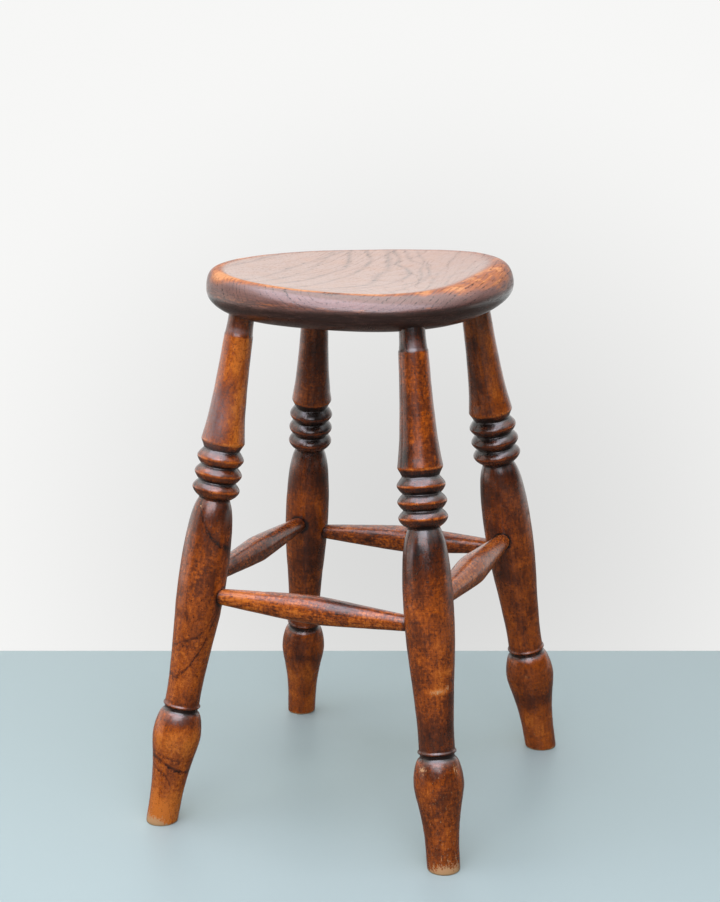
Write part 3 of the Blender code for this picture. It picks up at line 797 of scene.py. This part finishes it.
class STOOL_OT_make_seat(bpy.types.Operator):
    """Build the dished elm seat"""
    bl_idname = "stool.make_seat"
    bl_label = "Make Seat"

    def execute(self, context):
        sizes = context.scene.stool_sizes
        reach = (sizes.seat_width / 2, sizes.seat_depth / 2)
        widest, crest = UNDERSIDE + RIM_BELOW, UNDERSIDE + RIM_BELOW + RIM_ABOVE
        rings, marks = [], {mark: [] for mark in ELM_MARKS}
        add_row = partial(self.add_row, rings, marks, reach)
        deep_in = 1.0
        for share in (0.15, 0.4, 0.7, 0.93):
            add_row(-deep_in, -RIM_BELOW, UNDERSIDE, inset=ROUND_BELOW, share=share)
        # The rim is a quarter of an ellipse below its widest line, and another above it
        steps = 26
        for k in range(steps):
            angle = math.pi / 2 * (1 - k / steps)
            below = RIM_BELOW * math.sin(angle)
            add_row(-RIM_RUN - below, -below, widest - below, inset=ROUND_BELOW * (1 - math.cos(angle)))
        steps = 24
        for k in range(steps + 1):
            angle = math.pi / 2 * k / steps
            up = math.sin(angle)
            add_row(-RIM_RUN * (1 - k / steps), RIM_ABOVE * up, widest + RIM_ABOVE * up,
                    inset=ROUND_ABOVE * (1 - math.cos(angle)), lift=CREST_LIFT * up,
                    swing=CREST_SWING * up * up)
        # The dish's rows lie closest together at the crest
        steps = 44
        for k in range(1, steps):
            share = 1 - (k / (steps + 0.5)) ** 1.4
            drop = sizes.dish_depth * (1 - share * share)
            add_row((1 - share) * DISH_RUN, deep_in, crest - drop, inset=ROUND_ABOVE,
                    lift=CREST_LIFT * share * share, swing=CREST_SWING, share=share)
        seat = loft("elm_seat_board", rings, marks, Matrix())
        seat.data.materials.append(elm_material(context.scene.stool_colours))
        ride_for(seat, "seat")
        return {"FINISHED"}

    def add_row(self, rings, marks, reach, inside, over, height, inset=0.0, lift=0.0, swing=0.0, share=1.0):
        """One row of points round the seat, and their marks.

        inside is how far the row lies from the crest into the dish, and over how far above the widest line.
        """
        points = []
        for angle in turns(SEAT_SIDES):
            # The crest swings out at two corners, and comes nearest to the edge on the left
            aside = math.cos(2 * (angle - math.radians(50))) + 0.75 * lobe(angle, 186, 38)
            out = SEAT_CORNER * math.sin(2 * angle) ** 2 - inset + swing * aside
            x = share * (reach[0] + out) * math.cos(angle)
            y = share * (reach[1] + out) * math.sin(angle)
            z = height + lift * math.cos(2 * (angle - math.radians(34)))
            # Spokeshave and scraper leave the surface a little uneven
            place = Vector((x, y, z)) / 0.03
            ripple = 0.25 * MM * noise.noise(place) + 0.08 * MM * noise.noise(place * 3.1)
            z += ripple * min(1.0, (z - UNDERSIDE) / 0.004)
            points.append((x, y, z))
            blot = 0.5 * noise.noise(Vector((x, y, z)) / 0.018)
            for values, value in zip(marks.values(), self.marks_at(angle, blot, inside, over)):
                values.append(value)
        rings.append(points)

    def marks_at(self, angle, blot, inside, over):
        """The seat's marks at a point, in the order of ELM_MARKS."""
        # Hands lift the stool by its two ends, so the stain is rubbed further down there
        right_end, left_end = lobe(angle, 2, 42), lobe(angle, 222, 22)
        reach = (3.6 + 7 * right_end if inside > 0 else 3.4 + 17 * right_end + 11 * left_end) * MM
        front = 0.5 - 0.5 * math.sin(angle)
        rubbed = step_up(abs(inside), 1.5 * reach, 0.2 * reach) * max(0.3 + 0.7 * front, right_end)
        dish = step_up(inside * (1 + 0.8 * blot), 5 * (front - 1) * MM, (4.5 + 13 * right_end) * MM)
        crest = clamp(rubbed * (1 + 0.5 * blot))
        grip = step_up(over, -3 * MM, 3 * MM) * step_up(inside, 6 * MM, 0.0)
        held = clamp(max(rubbed, grip * max(right_end, 0.6 * left_end)))
        # Below the edge the stain is whole and painted shade lies where the rim turns under; both climb
        # highest at the front on the right
        over_edge = over - (2.5 + 4 * lobe(angle, -24, 34)) * MM
        whole = 0.3 * step_up(over_edge, 5 * MM, 0.0) + 0.7 * step_up(over_edge, -0.5 * MM, -6 * MM)
        under = clamp(whole + 0.3 * blot * whole)
        # The edge is scraped on the left, lower down too
        scraped = lobe(angle, 230, 30)
        scrape = hump(over - (3 - 4 * scraped) * MM, (2.5 + 4 * scraped) * MM)
        edge = scrape * clamp(0.7 + 1.2 * blot + 0.6 * scraped)
        return dish, crest, under, edge, held


class STOOL_OT_make_legs(bpy.types.Operator):
    """Build the four ring-turned beech legs"""
    bl_idname = "stool.make_legs"
    bl_label = "Make Legs"

    def execute(self, context):
        for name, leg in LEGS.items():
            foot, socket = axis_point(leg, 0.0), axis_point(leg, UNDERSIDE)
            obj = self.turn(name, leg, (socket - foot).length / MM, upright_frame(foot, socket),
                            context.scene.stool_sizes.leg_girth)
            obj.data.materials.append(beech_material(
                name, context.scene.stool_colours, leg.seed, leg.stain, leg.mottle, leg.figure, leg.heart,
                streaks=0.2))
            ride_for(obj, name)
        return {"FINISHED"}

    def turn(self, name, leg, length, stand, girth):
        """One leg along its own Z: its profile swept round, with the unevenness of hand work and use."""
        pick = random.Random(leg.seed)
        dents = pick_dents(pick, count=30, along=(20, 440), reach=(1.2, 3.5), sink=(0.15, 0.5))
        oval = pick.uniform(0, math.pi)
        profile = leg_profile(leg, length)
        inward = stand.inverted()
        joints = [(inward @ point, inward.to_3x3() @ way) for point, way in joints_on(name)]
        patches = PATCHES.get(name, ())
        lip = COLLAR_LIP + leg.bulb_shift
        noses = [(nose + leg.ring_shift, share) for nose, share in NOSES] + [(lip, LIP_RUBBED)]
        right = TOWARDS_VIEWER + math.pi / 2
        rings, marks = [], {mark: [] for mark in BEECH_MARKS}
        for (along, radius), hollow in zip(profile, hollows(profile, 5.0)):
            bow = between(along, BOW_PLACES, leg.bow)
            shift = Vector((math.cos(right), math.sin(right), 0.0)) * bow * MM
            nose = max(hump(along - place, 1.0) * share for place, share in noses)
            row_grime_and_shade = self.grime_and_shade_along(leg, along, hollow, lip, length)
            worn_foot = 0.6 * hump(along, 1.6) + 0.25 * hump(along, 18)
            ring = []
            for angle, out, place in around(LEG_SIDES, along / 12, (leg.seed, 0, 0)):
                shrunk = 1 + 0.006 * math.cos(2 * (angle - oval))
                size = radius * girth * shrunk + 0.12 * noise.noise(place)
                nick = dented(dents, along, angle, radius)
                point = out * (size - nick) * MM + shift
                # The foot is sawn level with the floor
                lean = -(stand[2][0] * point.x + stand[2][1] * point.y) / stand[2][2]
                point.z = along * MM + lean * max(0.0, 1 - along / 14)
                ring.append(point)
                # Old polish round the joints, and painted shade where the stretchers go in
                grime_and_shade = row_grime_and_shade
                for centre, way in joints:
                    from_axis = (point - centre).cross(way).length / MM
                    if (point - centre).dot(way) > 0:
                        grime_and_shade = max(grime_and_shade, 0.7 * step_up(from_axis, 10.5, 7.5))
                blot = 0.5 * noise.noise(place * 1.7)
                patch = patch_marks(patches, along, angle, radius, TOWARDS_VIEWER)
                marks["grime_and_shade"].append(clamp(grime_and_shade * (1 + 0.6 * blot) + patch["grime_and_shade"]))
                marks["wear_and_light"].append(clamp(nose * leg.rub * clamp(0.9 + 1.6 * blot) + patch["wear_and_light"]))
                marks["bare"].append(worn_foot + 1.3 * nick * clamp(blot * 3) + patch["bare"])
                marks["bloom_and_sheen"].append(clamp(patch["bloom_and_sheen"]))
            rings.append(ring)
        return loft("turned_" + name, rings, marks, stand)

    def grime_and_shade_along(self, leg, along, hollow, lip, length):
        """Old polish along a leg, partly painted shade: in hollows, on and below the rings, at the collar
        and on the neck.
        """
        sunk = clamp(hollow / 1.4)
        low, high = RINGS[0] + leg.ring_shift, RINGS[1] + leg.ring_shift
        return max(
            0.45 * sunk,
            leg.ring_stain + 0.5 * sunk if low < along < high else 0.0,
            0.35 * step_up(along, 240, 296) * step_up(along, low + 2, low),
            0.6 * step_up(along, lip - 7.0, lip - 5.5) * step_up(along, lip - 0.6, lip - 1.4),
            0.25 * hump(along - lip - 0.5, 2.5),
            leg.neck_stain * step_up(along, length - 15.5, length - 13),
            0.25 * step_up(along, length - 4, length))


class STOOL_OT_make_stretchers(bpy.types.Operator):
    """Build the four turned beech stretchers"""
    bl_idname = "stool.make_stretchers"
    bl_label = "Make Stretchers"

    def execute(self, context):
        for name, stretcher in STRETCHERS.items():
            first, second = ends_of(stretcher)
            obj = self.turn(name, stretcher, (second - first).length / MM, upright_frame(first, second),
                            context.scene.stool_sizes.stretcher_girth)
            obj.data.materials.append(beech_material(
                name, context.scene.stool_colours, stretcher.seed, stretcher.stain, mottle=1.3, figure=0.15,
                heart=stretcher.seed * 50, streaks=0.9))
            ride_for(obj, name)
        return {"FINISHED"}

    def turn(self, name, stretcher, length, stand, girth):
        """One stretcher along its own Z, from the end of one tenon to the end of the other."""
        pick = random.Random(stretcher.seed)
        dents = pick_dents(pick, count=14, along=(30, length - 30), reach=(1.5, 3.5), sink=(0.1, 0.35))
        soft = stretcher.softness
        peak = math.hypot(1.0, soft) - soft
        up = stand.to_3x3().inverted() @ Vector((0, 0, 1))
        upward = math.atan2(up.y, up.x)
        patches = PATCHES.get(name, ())
        rings, marks = [], {mark: [] for mark in BEECH_MARKS}
        run = length - 2 * TENON_END
        count = round(run / 1.5)
        for k in range(count + 1):
            along = TENON_END + run * k / count
            u = clamp(abs(along - length / 2) / (length / 2 - LEG_FACE))
            swell = 1 - (math.hypot(u, soft) - soft) / peak
            radius = TENON_RADIUS + (stretcher.radius - TENON_RADIUS) * swell
            from_leg = min(along, length - along) - LEG_FACE
            ring = []
            for angle, out, place in around(STRETCHER_SIDES, along / 14, (stretcher.seed, 3, 0)):
                size = radius * girth + 0.12 * noise.noise(place)
                nick = dented(dents, along, angle, radius)
                point = out * (size - nick) * MM
                point.z = along * MM
                ring.append(point)
                blot = 0.5 * noise.noise(place * 1.7)
                patch = patch_marks(patches, along, angle, radius, upward)
                top = clamp(math.cos(turn_gap(angle, upward)))
                # Old polish and painted shade at the joints, painted shade on the underside, and random
                # blots
                grime_and_shade = 0.5 * step_up(from_leg, 4, 0) + 0.05 * (1 - top) + 0.3 * blot
                marks["grime_and_shade"].append(clamp(grime_and_shade + patch["grime_and_shade"]))
                marks["wear_and_light"].append(clamp(0.1 * top + blot + patch["wear_and_light"]))
                marks["bare"].append(clamp(1.4 * nick + patch["bare"]))
                # Grey bloom on the top, partly painted sheen
                marks["bloom_and_sheen"].append(clamp(0.25 * top * clamp(0.5 + 2 * blot) + patch["bloom_and_sheen"]))
            rings.append(ring)
        return loft("turned_" + name, rings, marks, stand)


class STOOL_OT_make_stage(bpy.types.Operator):
    """Lay the pale floor, set the soft lights and stand the camera"""
    bl_idname = "stool.make_stage"
    bl_label = "Make Stage"

    def execute(self, context):
        colours = context.scene.stool_colours
        self.lay_floor(colours)
        self.raise_wall(colours)
        self.hang_softboxes()
        self.light_room(colours)
        self.stand_camera()
        context.scene.view_settings.view_transform = "Standard"
        return {"FINISHED"}

    def lay_floor(self, colours):
        """A round floor of matt painted board: plain and pale, and lost in the surroundings further off."""
        edge = [(STAGE_REACH * math.cos(a), STAGE_REACH * math.sin(a), 0.0) for a in turns(FLOOR_SIDES)]
        mesh = bpy.data.meshes.new("floor")
        mesh.from_pydata(edge, [], [list(range(FLOOR_SIDES))])
        floor = put_in_scene("floor", mesh)
        material = bpy.data.materials.new("floor_painted_matt")
        node = emptied(material)
        place = node("NewGeometry").outputs["Position"]
        paths = node("LightPath")
        away = node("VectorMath", (place,), "LENGTH")
        far = node("MapRange", (away, 0.9, 2.5), interpolation_type="SMOOTHSTEP")
        # The white wall shows in the wax too
        behind = node("VectorMath", (place, AWAY), "DOT_PRODUCT")
        wall = node("MapRange", (behind, -0.2, 0.6), interpolation_type="SMOOTHSTEP")
        glossy = paths.outputs["Is Glossy Ray"]
        seen = node("Math", (glossy, wall, paths.outputs["Is Camera Ray"]), "MULTIPLY_ADD")
        fade = node("Math", (far, seen), "MULTIPLY")
        # Wax mirrors the floor only faintly, least of all close by
        near = node("MapRange", (away, 1.25, 1.75, 1.0, 0.1))
        dim = node("Math", (glossy, near), "MULTIPLY")
        mirrored = node("Mix", (dim, colours.floor, colours.floor_in_wax), data_type="RGBA")
        paint = node("BsdfPrincipled", {"Base Color": mirrored, "Roughness": 0.45, "IOR": 1.4})
        beyond = node("Emission", (colours.backdrop, 1.0))
        mixed = node("MixShader", (fade, paint, beyond))
        node("OutputMaterial", {"Surface": mixed})
        mesh.materials.append(material)

    def raise_wall(self, colours):
        """A white wall close behind the stool, which only the camera sees, and only from the front."""
        foot = AWAY * 0.37
        along = Vector((AWAY.y, -AWAY.x, 0.0)) * STAGE_REACH
        top = Vector((0.0, 0.0, STAGE_REACH))
        mesh = bpy.data.meshes.new("wall")
        corners = [foot - along, foot + along, foot + along + top, foot - along + top]
        mesh.from_pydata(corners, [], [(0, 1, 2, 3)])
        wall = put_in_scene("wall", mesh)
        material = bpy.data.materials.new("wall_painted_white")
        node = emptied(material)
        seen = node("NewGeometry")
        # The stool shades the wall a little behind its legs
        behind_legs = foot + Vector((0.08, 0.0, 0.12))
        from_stool = node("VectorMath", (seen.outputs["Position"], behind_legs), "DISTANCE")
        shaded = node("MapRange", (from_stool, 0.0, 0.6, 0.78, 1.045), interpolation_type="SMOOTHSTEP")
        white = node("Emission", (colours.backdrop, shaded))
        clear = node("BsdfTransparent")
        mixed = node("MixShader", (seen.outputs["Backfacing"], white, clear))
        node("OutputMaterial", {"Surface": mixed})
        mesh.materials.append(material)
        wall.visible_diffuse = wall.visible_glossy = wall.visible_transmission = wall.visible_shadow = False

    def hang_softboxes(self):
        """Four soft lamps, all aimed at the stool's middle."""
        middle = Vector((0.0, 0.0, 0.3))
        # name, place, size across and along, watts, colour
        for name, place, across, along, watts, tint in (
                ("softbox_front", (0.32, -1.7, 1.5), 1.8, 1.1, 24.0, "#FAF6FF"),
                ("softbox_over", (0.0, -0.5, 1.9), 2.4, 2.0, 49.0, "#EEE9FF"),
                ("softbox_left", (-1.6, -0.5, 0.95), 1.9, 2.0, 10.0, "#FFF8F2"),
                ("softbox_right", (1.7, 0.3, 1.5), 1.2, 1.2, 2.0, "#F1F0FF")):
            lamp = bpy.data.lights.new(name, "AREA")
            lamp.shape, lamp.size, lamp.size_y = "RECTANGLE", across, along
            lamp.energy, lamp.color = watts, linear(tint)[:3]
            box = put_in_scene(name, lamp)
            box.location = place
            box.rotation_mode = "QUATERNION"
            box.rotation_quaternion = (middle - Vector(place)).to_track_quat("-Z", "Y")

    def light_room(self, colours):
        """A white wall behind the stool, a dimmer room in front, and a bright ceiling that wax mirrors."""
        world = bpy.data.worlds.new("pale_room")
        node = emptied(world)
        way = node("TexCoord").outputs["Generated"]
        paths = node("LightPath")
        behind = node("VectorMath", (way, (-0.37, 0.93, 0.0)), "DOT_PRODUCT")
        wall = node("MapRange", (behind, 0.1, 0.8, 0.05, 0.95), interpolation_type="SMOOTHSTEP")
        split = node("SeparateXYZ", (way,))
        ceiling = node("ValToRGB", (split.outputs["Z"],))
        set_stops(ceiling, (0.4, 0), (0.52, 0.7), (0.65, 0.9), (0.78, 1.7), (0.94, 2.6), (1.0, 2.0))
        mirrored = node("Math", (ceiling, paths.outputs["Is Glossy Ray"], wall), "MULTIPLY_ADD")
        level = node("Mix", (paths.outputs["Is Camera Ray"], mirrored, 1.0), data_type="FLOAT")
        glow = node("Background", (colours.backdrop, level))
        node("OutputWorld", {"Surface": glow})
        bpy.context.scene.world = world

    def stand_camera(self):
        """The camera stands and looks as the photograph was taken."""
        pitch = math.radians(14.703)
        view = bpy.data.cameras.new("view")
        view.sensor_fit, view.sensor_height, view.lens = "VERTICAL", 36.0, 85.75
        view.clip_end = 100.0
        camera = put_in_scene("view", view)
        camera.location = (0.71724, -1.80932, 0.8438)
        camera.rotation_euler = (math.pi / 2 - pitch, 0.0, VIEW_TURN)
        bpy.context.scene.camera = camera


class STOOL_PT_panel(bpy.types.Panel):
    bl_label = "Windsor Stool"
    bl_idname = "STOOL_PT_panel"
    bl_space_type = "VIEW_3D"
    bl_region_type = "UI"
    bl_category = "Stool"

    def draw(self, context):
        for group in (context.scene.stool_sizes, context.scene.stool_colours):
            box = self.layout.box()
            for name in group.__annotations__:
                box.prop(group, name)
        for step in STEPS:
            self.layout.operator(step.bl_idname)


STEPS = (STOOL_OT_make_seat, STOOL_OT_make_legs, STOOL_OT_make_stretchers, STOOL_OT_make_stage)
CLASSES = (StoolSizes, StoolColours) + STEPS + (STOOL_PT_panel,)


def register():
    for cls in CLASSES:
        bpy.utils.register_class(cls)
    bpy.types.Scene.stool_sizes = PointerProperty(type=StoolSizes)
    bpy.types.Scene.stool_colours = PointerProperty(type=StoolColours)


def unregister():
    del bpy.types.Scene.stool_colours
    del bpy.types.Scene.stool_sizes
    for cls in reversed(CLASSES):
        bpy.utils.unregister_class(cls)


def main():
    register()
    bpy.ops.stool.make_seat()
    bpy.ops.stool.make_legs()
    bpy.ops.stool.make_stretchers()
    bpy.ops.stool.make_stage()


if __name__ == "__main__":
    main()
